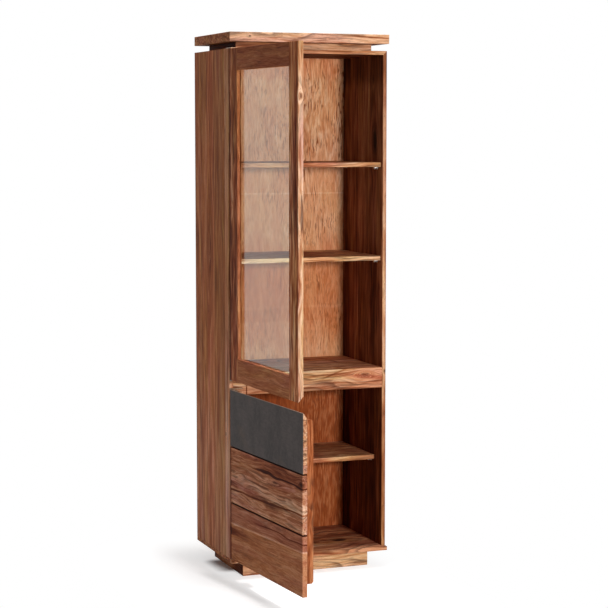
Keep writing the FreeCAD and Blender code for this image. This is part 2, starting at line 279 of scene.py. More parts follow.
@dataclass(frozen=True)
class Timber:
    """Oiled hardwood with growth rings, bands, streaks, threads, dark lines and pores.

    Widths and lengths are those of the figure across and along the grain, amounts say how strongly it shows, and
    ranges give the part of the noise that it is drawn from.
    """

    stops: Stops = (
        (0.0, (0.035, 0.008, 0.004)), (0.2, (0.13, 0.030, 0.010)), (0.4, (0.28, 0.086, 0.034)),
        (0.56, (0.42, 0.158, 0.071)), (0.76, (0.60, 0.295, 0.155)), (1.0, (0.82, 0.52, 0.34)))
    middle: float = 0.58
    # painted light on faces that look to the front, or painted shade where negative
    front: float = 0.05
    flat: float = 1.0
    band: float = 0.030
    band_length: float = 0.50
    band_amount: float = 0.85
    streak: float = 0.0085
    streak_length: float = 0.22
    streak_amount: float = 0.26
    streak_range: Pair = (0.32, 0.68)
    thread: float = 0.42
    thread_amount: float = 0.21
    thread_range: Pair = (0.30, 0.70)
    wave: float = 0.07
    wander: float = 0.040
    wander_length: float = 0.26
    heart: float = 0.10
    ring: float = 0.019
    ring_drift: float = 0.09
    ring_wander: float = 0.15
    ring_length: float = 0.34
    ring_rise: Pair = (0.35, 0.90)
    ring_fall: Pair = (1.0, 0.90)
    ring_gap: Pair = (0.045, 0.30)
    ring_range: Pair = (0.40, 0.66)
    ring_least: float = 0.06
    ring_amount: float = 0.62
    cast: Pair = (1.3, 0.8)
    plum: Colour = (0.86, 0.76, 0.86)
    plum_range: Pair = (0.52, 0.70)
    olive: Colour = (0.95, 1.0, 0.84)
    olive_range: Pair = (0.48, 0.30)
    vein: Colour = (0.045, 0.014, 0.010)
    fleck: Colour = (0.060, 0.018, 0.012)
    eye: Colour = (0.012, 0.004, 0.004)
    line: float = 0.0070
    line_length: float = 0.20
    line_amount: float = 0.55
    line_range: Pair = (0.55, 0.66)
    cluster: float = 0.11
    cluster_stretch: float = 1.6
    cluster_range: Pair = (0.40, 0.60)
    cluster_least: float = 0.20
    pore: Pair = (0.0011, 0.022)
    pore_range: Pair = (0.56, 0.70)
    pore_amount: float = 0.45
    rough: Pair = (0.49, 0.61)
    gloss: float = 0.015
    ridge: float = 0.5
    relief: Pair = (0.35, 0.0004)


@dataclass(frozen=True)
class Veneer(Timber):
    """The thin sheet at the cabinet's back, paler and calmer than the boards, with short flecks."""

    stops: Stops = (
        (0.0, (0.10, 0.020, 0.005)), (0.3, (0.34, 0.085, 0.024)), (0.55, (0.56, 0.215, 0.088)),
        (0.8, (0.72, 0.37, 0.19)), (1.0, (0.84, 0.54, 0.34)))
    middle: float = 0.78
    front: float = 0.0
    band: float = 0.060
    band_length: float = 0.22
    band_amount: float = 0.50
    streak: float = 0.0070
    streak_length: float = 0.060
    streak_amount: float = 0.12
    thread: float = 0.75
    thread_amount: float = 0.19
    ring_amount: float = 0.10
    plum: Colour = (0.95, 0.90, 0.92)
    olive: Colour = (0.99, 1.0, 0.95)
    fleck: Colour = (0.24, 0.062, 0.022)
    line: float = 0.0040
    line_length: float = 0.034
    line_amount: float = 0.90
    cluster: float = 0.08
    pore_amount: float = 0.30


@dataclass(frozen=True)
class Board:
    """One board: its piece, its wood, how its grain runs on the closed cabinet and what sets it apart.

    The seed says where in the log it was cut, and lift how much paler than the rest it is. Front edges get painted
    light by front, or painted shade where it is negative. Faces that look the inner way get painted shade by the
    inner shade and, below the divider, by the tone and shade below as well, which is painted light where negative and
    on the back panel also stands for a darker lower sheet. Staves meet at the joints, along Y.
    """

    node: str
    wood: Timber
    grain: Grain
    seed: float
    hinge: Hinge | None = None
    lift: float = 0.0
    tint: Colour = PLAIN
    # painted light on front-facing faces, then painted shade on faces that look the inner way, more below the divider
    front: float | None = None
    inner: Triple | None = None
    inner_shade: float = 0.0
    tone_and_shade_below: float = 0.0
    joints: Sequence[float] = ()
    knots: Sequence[Knot] = ()
    stripes: Sequence[Stripe] = ()

    def offset(self) -> Triple:
        """Gives the board's place in the log."""
        return tuple(self.seed * step % LOG_SIZE for step in LOG_STEPS)

    def scale(self, across: float, along: float) -> Triple:
        """Gives how often a pattern repeats per metre along X, Y and Z.

        Args:
            across: The pattern's size across the grain.
            along: Its size along the grain.

        Returns:
            The repeats per metre.
        """
        sizes = [across, across * self.wood.flat, across]
        sizes[self.grain.value] = along
        return tuple(1.0 / size for size in sizes)

    def dress(self) -> None:
        """Gives the board's piece its finish."""
        dress(self.node, Figure(self).finish())


class Figure:
    """The figure of one board, drawn node by node."""

    def __init__(self, board: Board) -> None:
        """Finds the places that the figure is drawn at and how calm it is there.

        Args:
            board: The board.
        """
        self.board, self.wood = board, board.wood
        self.bench = bench = Bench("wood_" + board.node)
        place = bench.add("TexCoord").outputs
        self.normal, self.home = place["Normal"], place["Object"]
        if board.hinge is not None:
            self.close(board.hinge)
        spot = bench.arrow("ADD", self.glue_up(), board.offset())
        scale = board.scale(self.wood.wave, self.wood.wander_length)
        self.waves = bench.arrow("SUBTRACT", bench.cloud(spot, scale, 2.0, output="Color"), (0.5, 0.5, 0.5))
        self.bent = self.sway(spot, self.wood.wander)
        self.dark = 0.0
        for knot in board.knots:
            self.grow(knot)
        self.shares = [(stripe, self.share(stripe)) for stripe in board.stripes]
        self.calm = 1.0
        for stripe, share in self.shares:
            if stripe.calm:
                self.calm = bench.sum("MULTIPLY", self.calm, bench.spread(share, 0.0, 1.0, 1.0, 1.0 - stripe.calm))

    def close(self, hinge: Hinge) -> None:
        """Takes the places on an open door back to where they lie when the door is closed.

        Args:
            hinge: The door's hinge.
        """
        axis = Vector((*hinge.axis, 0.0))
        move = axis - Matrix.Rotation(hinge.turn, 3, "Z") @ axis
        turn = (0.0, 0.0, hinge.turn)
        self.home = self.bench.add("Mapping", Vector=self.home, Location=move, Rotation=turn).outputs[0]

    def glue_up(self) -> Socket:
        """Cuts a panel's figure at its glued joints.

        Returns:
            The place, moved on to another log from stave to stave.
        """
        bench, spot = self.bench, self.home
        depth = bench.arrow("DOT_PRODUCT", spot, BACK)
        for joint in self.board.joints:
            jump = bench.stretch(STAVE_JUMP, bench.sum("GREATER_THAN", depth, joint))
            spot = bench.arrow("ADD", spot, jump)
        return spot

    def sway(self, spot: Socket, amount: float) -> Socket:
        """Moves a place to and fro by an amount, so that what is drawn there is wavy."""
        return self.bench.arrow("ADD", spot, self.bench.arrow("MULTIPLY", self.waves, (amount, amount, amount)))

    def noise(self, across: float, along: float, detail: float = 1.0, rough: float = 0.5) -> Socket:
        """Samples noise that is drawn out along the bent grain."""
        return self.bench.cloud(self.bent, self.board.scale(across, along), detail, rough)

    def grow(self, knot: Knot) -> None:
        """Leads the grain round a knot and darkens its middle.

        Args:
            knot: The knot.
        """
        bench = self.bench
        away = bench.arrow("SUBTRACT", self.home, knot.at)
        away = bench.arrow("MULTIPLY", away, self.board.scale(knot.wide, knot.long))
        away = bench.arrow("ADD", away, self.waves)
        far = bench.arrow("LENGTH", away)
        push = bench.stretch(bench.arrow("NORMALIZE", away), bench.spread(far, 0.0, KNOT_REACH, -knot.push, 0.0))
        self.bent = bench.arrow("ADD", self.bent, push)
        self.dark = bench.sum("MAXIMUM", self.dark, bench.spread(far, *KNOT_SPAN, knot.depth, 0.0))

    def share(self, stripe: Stripe) -> Socket:
        """Finds how much a place belongs to a stripe.

        Args:
            stripe: The stripe.

        Returns:
            The share's socket.
        """
        bench, half = self.bench, stripe.wide / 2
        gap = bench.arrow("DOT_PRODUCT", self.sway(self.home, stripe.wide * stripe.wave), stripe.across)
        gap = bench.sum("ABSOLUTE", bench.sum("SUBTRACT", gap, stripe.at))
        share = bench.spread(gap, half * (1.0 - stripe.soft), half * (1.0 + stripe.soft), 1.0, 0.0)
        length = bench.arrow("DOT_PRODUCT", self.home, stripe.along)
        for end, fade in ((stripe.start, stripe.fade), (stripe.end, -stripe.fade)):
            share = bench.sum("MULTIPLY", share, bench.spread(length, end - fade, end + fade))
        return share

    def face(self, tone: Socket, way: Triple, amount: object) -> Socket:
        """Paints light or shade onto the faces that look one way: paler by an amount, or darker."""
        facing = self.bench.arrow("DOT_PRODUCT", self.normal, way)
        return self.bench.sum("ADD", tone, self.bench.spread(facing, *FACING_SPAN, 0.0, amount))

    def tone(self, streaks: Socket) -> Socket:
        """Adds up bands, streaks and threads, the board's own lift, the painted light and shade of its faces and its
        stripes.

        Args:
            streaks: The streaks' socket.

        Returns:
            The tone's socket.
        """
        bench, wood, board = self.bench, self.wood, self.board
        bands = self.noise(wood.band, wood.band_length, 3.0, 0.6)
        threads = self.noise(wood.streak * wood.thread, wood.streak_length * wood.thread)
        threads = bench.spread(threads, *wood.thread_range)
        figures = ((bands, wood.band_amount), (streaks, wood.streak_amount), (threads, wood.thread_amount))
        terms = [bench.sum("MULTIPLY", bench.sum("SUBTRACT", figure, 0.5), amount) for figure, amount in figures]
        tone = bench.sum("ADD", bench.sum("ADD", terms[0], terms[1]), terms[2])
        tone = bench.sum("ADD", bench.sum("MULTIPLY", tone, self.calm), wood.middle + board.lift)
        # painted light on the faces that look to the front
        tone = self.face(tone, FRONT, wood.front if board.front is None else board.front)
        # painted shade on the faces that look the inner way, deeper below the divider
        if board.inner is not None:
            height = bench.arrow("DOT_PRODUCT", self.home, UP)
            inner_face_shade = bench.spread(height, *DIVIDER_SPAN, -board.inner_shade - board.tone_and_shade_below, -board.inner_shade)
            tone = self.face(tone, board.inner, inner_face_shade)
        for stripe, share in self.shares:
            tone = bench.sum("ADD", tone, bench.sum("MULTIPLY", share, stripe.tone))
        return tone

    def rings(self) -> Socket:
        """Draws the growth rings round the log's heart as dark lines that come and go.

        Returns:
            How dark the ring is, as a socket.
        """
        bench, wood, board = self.bench, self.wood, self.board
        angle = board.seed * HEART_TURN
        sides = [axis for axis in range(3) if axis != board.grain.value]
        mask, heart = [0.0, 0.0, 0.0], [0.0, 0.0, 0.0]
        for axis, reach in zip(sides, (math.cos(angle), math.sin(angle))):
            mask[axis] = 1.0
            heart[axis] = wood.heart * reach - board.offset()[axis]
        flat = bench.arrow("ADD", bench.arrow("MULTIPLY", self.bent, mask), heart)
        drift = bench.sum("MULTIPLY", self.noise(wood.ring_drift, wood.ring_length, 2.0), wood.ring_wander)
        away = bench.sum("ADD", bench.arrow("LENGTH", flat), drift)
        phase = bench.sum("FRACT", bench.sum("DIVIDE", away, wood.ring))
        line = bench.sum("MULTIPLY", bench.spread(phase, *wood.ring_rise), bench.spread(phase, *wood.ring_fall))
        fading = self.noise(*wood.ring_gap, 1.5)
        return bench.sum("MULTIPLY", line, bench.spread(fading, *wood.ring_range, wood.ring_least, wood.ring_amount))

    def lines(self) -> Socket:
        """Draws short dark lines that crowd together in places.

        Returns:
            How dark the line is, as a socket.
        """
        bench, wood = self.bench, self.wood
        lines = bench.spread(self.noise(wood.line, wood.line_length), *wood.line_range, 0.0, wood.line_amount)
        crowd = self.noise(wood.cluster, wood.cluster * wood.cluster_stretch)
        crowd = bench.spread(crowd, *wood.cluster_range, wood.cluster_least, 1.0)
        return bench.sum("MULTIPLY", bench.sum("MULTIPLY", lines, crowd), self.calm)

    def finish(self) -> Material:
        """Puts tone, colour and relief together.

        Returns:
            The board's material.
        """
        bench, wood = self.bench, self.wood
        streaks = bench.spread(self.noise(wood.streak, wood.streak_length, 2.0, 0.6), *wood.streak_range)
        pits = bench.spread(self.noise(*wood.pore), *wood.pore_range)
        colour = bench.blend(1.0, bench.ramp(self.tone(streaks), wood.stops), self.board.tint, "MULTIPLY")
        for stripe, share in self.shares:
            colour = bench.blend(share, colour, stripe.tint, "MULTIPLY")
        cast = self.noise(wood.band * wood.cast[0], wood.band_length * wood.cast[1])
        colour = bench.blend(bench.spread(cast, *wood.plum_range), colour, wood.plum, "MULTIPLY")
        colour = bench.blend(bench.spread(cast, *wood.olive_range), colour, wood.olive, "MULTIPLY")
        colour = bench.blend(bench.sum("MULTIPLY", self.rings(), self.calm), colour, wood.vein)
        colour = bench.blend(self.lines(), colour, wood.fleck)
        colour = bench.blend(bench.sum("MULTIPLY", pits, wood.pore_amount), colour, wood.vein)
        if self.board.knots:
            colour = bench.blend(self.dark, colour, wood.eye)
        heights = bench.sum("SUBTRACT", bench.sum("MULTIPLY", streaks, wood.ridge), pits)
        return bench.done(bench.shader(
            "BsdfPrincipled", Base_Color=colour, Roughness=bench.spread(streaks, 0.0, 1.0, *wood.rough),
            Specular_IOR_Level=wood.gloss, Normal=bench.relief(heights, *wood.relief)))


@dataclass(frozen=True)
class Slate:
    """A thin sheet of dark natural stone with a pale upper edge, partly a painted highlight."""

    dark: Colour = (0.050, 0.041, 0.039)
    pale: Colour = (0.092, 0.074, 0.069)
    rust: Colour = (0.13, 0.085, 0.055)
    pale_lit_arris: Colour = (0.34, 0.23, 0.17)
    pale_lit_arris_span: Pair = (0.6704, 0.6716)
    cloud: Triple = (14.0, 14.0, 9.0)
    flake: Triple = (90.0, 90.0, 60.0)
    speck: Triple = (42.0, 42.0, 120.0)
    stain: Triple = (6.0, 6.0, 11.0)
    grit: Triple = (900.0, 900.0, 900.0)
    flake_range: Pair = (0.42, 0.66)
    flake_share: float = 0.55
    speck_range: Pair = (0.40, 0.60)
    speck_share: float = 0.35
    stain_range: Pair = (0.56, 0.72)
    stain_share: float = 0.30
    flake_height: float = 0.8
    grit_height: float = 0.2
    rough: Pair = (0.50, 0.66)
    gloss: float = 0.10
    relief: Pair = (0.5, 0.0006)

    def cut(self, name: str) -> Material:
        """Makes the stone's material.

        Args:
            name: The material's name.

        Returns:
            The material.
        """
        bench = Bench(name)
        spot = bench.spot()
        clouds = bench.cloud(spot, self.cloud, 5.0, 0.6)
        flakes = bench.cloud(spot, self.flake, 4.0, 0.65)
        specks = bench.cloud(spot, self.speck, 2.0, 0.6)
        stain = bench.cloud(spot, self.stain, 3.0)
        grit = bench.cloud(spot, self.grit, 2.0)
        colour = bench.blend(bench.spread(clouds, *NOISE_RANGE), self.dark, self.pale)
        for noise, span, share, layer in ((flakes, self.flake_range, self.flake_share, self.pale),
                                          (specks, self.speck_range, self.speck_share, self.dark),
                                          (stain, self.stain_range, self.stain_share, self.rust)):
            colour = bench.blend(bench.spread(noise, *span, 0.0, share), colour, layer)
        # a pale top edge, partly painted highlight
        pale_lit_edge = bench.spread(bench.arrow("DOT_PRODUCT", spot, UP), *self.pale_lit_arris_span)
        colour = bench.blend(pale_lit_edge, colour, self.pale_lit_arris)
        heights = bench.sum("ADD", bench.sum("MULTIPLY", flakes, self.flake_height),
                            bench.sum("MULTIPLY", grit, self.grit_height))
        return bench.done(bench.shader(
            "BsdfPrincipled", Base_Color=colour, Roughness=bench.spread(grit, *NOISE_RANGE, *self.rough),
            Specular_IOR_Level=self.gloss, Normal=bench.relief(heights, *self.relief)))


@dataclass(frozen=True)
class Pane:
    """Clear float glass with the faintest unevenness."""

    tint: Colour = (0.82, 0.94, 0.93)
    film: Colour = (0.86, 0.950, 0.942)
    shade: Colour = (0.93, 0.94, 0.935)
    ior: float = 1.24
    ripple: Triple = (9.0, 9.0, 6.0)
    haze_range: Pair = (0.45, 0.85)
    haze: float = 0.03

    def cut(self, name: str) -> Material:
        """Makes the glass material.

        Args:
            name: The material's name.

        Returns:
            The material.
        """
        bench = Bench(name)
        film = bench.cloud(bench.spot(), self.ripple, 4.0, 0.6)
        colour = bench.blend(bench.spread(film, *NOISE_RANGE), self.tint, self.film)
        rough = bench.spread(film, *self.haze_range, 0.0, self.haze)
        glass = bench.shader("BsdfPrincipled", Base_Color=colour, Roughness=rough, IOR=self.ior,
                             Transmission_Weight=1.0)
        clear = bench.shader("BsdfTransparent", Color=self.shade)
        shadow = bench.add("LightPath").outputs["Is Shadow Ray"]
        return bench.done(bench.shader("MixShader", shadow, glass, clear))


@dataclass(frozen=True)
class Fitting:
    """Satin metal with fine brush marks, or plain plastic with fine specks."""

    dark: Colour = (0.40, 0.385, 0.365)
    pale: Colour = (0.62, 0.605, 0.58)
    metal: float = 1.0
    haze: Triple = (160.0, 160.0, 160.0)
    marks: Triple = (300.0, 4000.0, 4000.0)
    marks_detail: float = 2.0
    rough: Pair = (0.28, 0.42)
    relief: Pair = (0.15, 0.0001)

    def cut(self, name: str) -> Material:
        """Makes the fitting's material.

        Args:
            name: The material's name.

        Returns:
            The material.
        """
        bench = Bench(name)
        spot = bench.spot()
        marks = bench.cloud(spot, self.marks, self.marks_detail)
        haze = bench.cloud(spot, self.haze, 3.0)
        return bench.done(bench.shader(
            "BsdfPrincipled", Base_Color=bench.blend(bench.spread(haze, *NOISE_RANGE), self.dark, self.pale),
            Roughness=bench.spread(marks, *NOISE_RANGE, *self.rough), Metallic=self.metal,
            Normal=bench.relief(marks, *self.relief)))


BRONZED = Fitting(dark=(0.16, 0.085, 0.045), pale=(0.26, 0.15, 0.085), metal=0.6)
BEARING = Fitting(dark=(0.62, 0.60, 0.55), pale=(0.78, 0.76, 0.71), metal=0.0, haze=(700.0, 700.0, 700.0),
                  marks=(700.0, 700.0, 700.0), marks_detail=3.0, rough=(0.38, 0.50), relief=(0.2, 0.0001))


def coat(piece: Piece, material: Material) -> None:
    """Gives a piece one finish and no other."""
    piece.data.materials.clear()
    piece.data.materials.append(material)


def dress(node: str, material: Material) -> None:
    """Gives a carried-over piece its finish and reports it."""
    coat(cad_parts[node], material)
    LOG.info("dressed %s with %s", node, material.name)


def clear_selection() -> None:
    """Leaves edit mode and deselects everything."""
    if bpy.context.object and bpy.context.object.mode != "OBJECT":
        bpy.ops.object.mode_set(mode="OBJECT")
    bpy.ops.object.select_all(action="DESELECT")


def turn_blank(name: str, vertices: int, radius: float, low: float, high: float) -> Piece:
    """Models a short upright cylinder at the origin and picks its top face in edit mode.

    Args:
        name: The piece's name.
        vertices: How many corners its round has.
        radius: Its radius.
        low: The height of its underside.
        high: The height of its top.

    Returns:
        The piece.
    """
    clear_selection()
    bpy.ops.mesh.primitive_cylinder_add(vertices=vertices, radius=radius, depth=high - low,
                                        location=(0.0, 0.0, (high + low) / 2))
    piece = bpy.context.object
    piece.name = name
    bpy.ops.object.transform_apply(location=True, rotation=True, scale=True)
    bpy.ops.object.mode_set(mode="EDIT")
    bpy.ops.mesh.select_mode(type="FACE")
    bpy.ops.mesh.select_all(action="DESELECT")
    bpy.ops.object.mode_set(mode="OBJECT")
    for polygon in piece.data.polygons:
        polygon.select = polygon.normal.z > TOP_FACING
    bpy.ops.object.mode_set(mode="EDIT")
    return piece


def complete(piece: Piece, angle: float, material: Material) -> Piece:
    """Smooths a modelled piece and gives it its finish.

    Args:
        piece: The piece, which is the active object.
        angle: Edges that turn by less than these degrees look round.
        material: The finish.

    Returns:
        The piece.
    """
    bpy.ops.object.mode_set(mode="OBJECT")
    bpy.ops.object.shade_smooth_by_angle(angle=math.radians(angle))
    coat(piece, material)
    return piece


def fit_copy(master: Piece, name: str, matrix: Matrix, body: str) -> Piece:
    """Copies a modelled piece with its own mesh, puts its place into the mesh and makes it part of a body.

    Args:
        master: The piece that was modelled.
        name: The copy's name.
        matrix: Where the copy goes.
        body: The body that carries it.

    Returns:
        The copy, at the origin.
    """
    mesh = master.data.copy()
    mesh.transform(matrix)
    piece = bpy.data.objects.new(name, mesh)
    bpy.context.collection.objects.link(piece)
    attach(piece, body)
    LOG.info("added %s to %s", piece.name, body)
    return piece


def looking(way: Triple, at: Triple) -> Matrix:
    """Gives the place of a piece whose top looks one way and whose middle lies at a point."""
    return Matrix.Translation(at) @ Vector(way).to_track_quat("Z", "Y").to_matrix().to_4x4()


@dataclass
class ScrewHead:
    """A countersunk screw's head with a cross recess, modelled once and copied."""

    steel: Material
    radius: float = 0.0034
    proud: float = 0.00025
    sunk: float = 0.0008
    slot: float = 0.0009
    reach: float = 0.0022
    rim: float = 0.12
    crown: float = 0.3
    over: float = 1.2
    corners: int = 24
    smooth: float = 30.0

    def model(self) -> Piece:
        """Models one head at the origin, looking up.

        Returns:
            The head.
        """
        head = turn_blank("screw_head", self.corners, self.radius, -self.sunk, self.proud)
        bpy.ops.mesh.inset(thickness=self.radius * self.rim, depth=0.0)
        bpy.ops.transform.translate(value=(0.0, 0.0, self.proud * self.crown))
        bpy.ops.object.mode_set(mode="OBJECT")
        for index in range(2):
            self.recess(head, index * math.pi / 2)
        return complete(head, self.smooth, self.steel)

    def recess(self, head: Piece, angle: float) -> None:
        """Cuts one arm of the cross into a head.

        Args:
            head: The head.
            angle: The arm's direction.
        """
        clear_selection()
        bpy.ops.mesh.primitive_cube_add(size=1.0, location=(0.0, 0.0, self.proud), rotation=(0.0, 0.0, angle),
                                        scale=(self.reach * 2, self.slot, self.sunk * self.over))
        cutter = bpy.context.object
        bpy.ops.object.transform_apply(location=True, rotation=True, scale=True)
        clear_selection()
        head.select_set(True)
        bpy.context.view_layer.objects.active = head
        cut = head.modifiers.new("recess", "BOOLEAN")
        cut.operation = "DIFFERENCE"
        cut.solver = "EXACT"
        cut.object = cutter
        bpy.ops.object.modifier_apply(modifier=cut.name)
        bpy.data.objects.remove(cutter, do_unlink=True)


@dataclass
class ShelfPeg:
    """A turned metal peg with a collar and a flat for the shelf, modelled once and copied."""

    steel: Material
    radius: float = 0.0060
    collar: float = 0.0072
    collar_thick: float = 0.0020
    collar_edge: float = 0.0003
    length: float = 0.0135
    flat: float = 0.0034
    round_off: float = 0.0012
    round_steps: Triple = (0.35, 0.65, 1.0)
    round_share: float = 0.6
    corners: int = 40
    smooth: float = 35.0

    def model(self) -> Piece:
        """Models one peg at the origin, standing out along Z with its flat towards X.

        Returns:
            The peg.
        """
        peg = turn_blank("shelf_peg", self.corners, self.collar, 0.0, self.collar_thick)
        bpy.ops.mesh.inset(thickness=self.collar_edge, depth=self.collar_edge)
        bpy.ops.mesh.inset(thickness=self.collar - self.radius - self.collar_edge, depth=0.0)
        bpy.ops.mesh.extrude_region_move(TRANSFORM_OT_translate={
            "value": (0.0, 0.0, self.length - self.collar_thick - self.round_off)})
        for share in self.round_steps:
            step = self.round_off * (1.0 - math.sqrt(1.0 - share ** 2))
            bpy.ops.mesh.inset(thickness=step * self.round_share, depth=self.round_off / len(self.round_steps))
        bpy.ops.mesh.select_all(action="SELECT")
        bpy.ops.mesh.bisect(plane_co=(self.flat, 0.0, 0.0), plane_no=RIGHT, use_fill=True, clear_outer=True)
        bpy.ops.mesh.select_all(action="SELECT")
        bpy.ops.mesh.normals_make_consistent(inside=False)
        return complete(peg, self.smooth, self.steel)


@dataclass
class BeadPin:
    """A small domed pin that holds a glazing bead, modelled once and copied."""

    steel: Material
    radius: float = 0.0011
    rise: float = 0.0003
    steps: Pair = (0.25, 0.35)
    step_rise: float = 0.3
    corners: int = 16
    smooth: float = 60.0

    def model(self) -> Piece:
        """Models one pin's head at the origin, looking up.

        Returns:
            The head.
        """
        head = turn_blank("bead_pin", self.corners, self.radius, -self.rise, self.rise)
        for share in self.steps:
            bpy.ops.mesh.inset(thickness=self.radius * share, depth=self.rise * self.step_rise)
        return complete(head, self.smooth, self.steel)


class Assembly:
    """A part of the cabinet whose boards are dressed one by one."""

    boards: tuple[Board, ...] = ()

    def dress(self) -> None:
        """Gives every board a finish of its own."""
        for board in self.boards:
            board.dress()


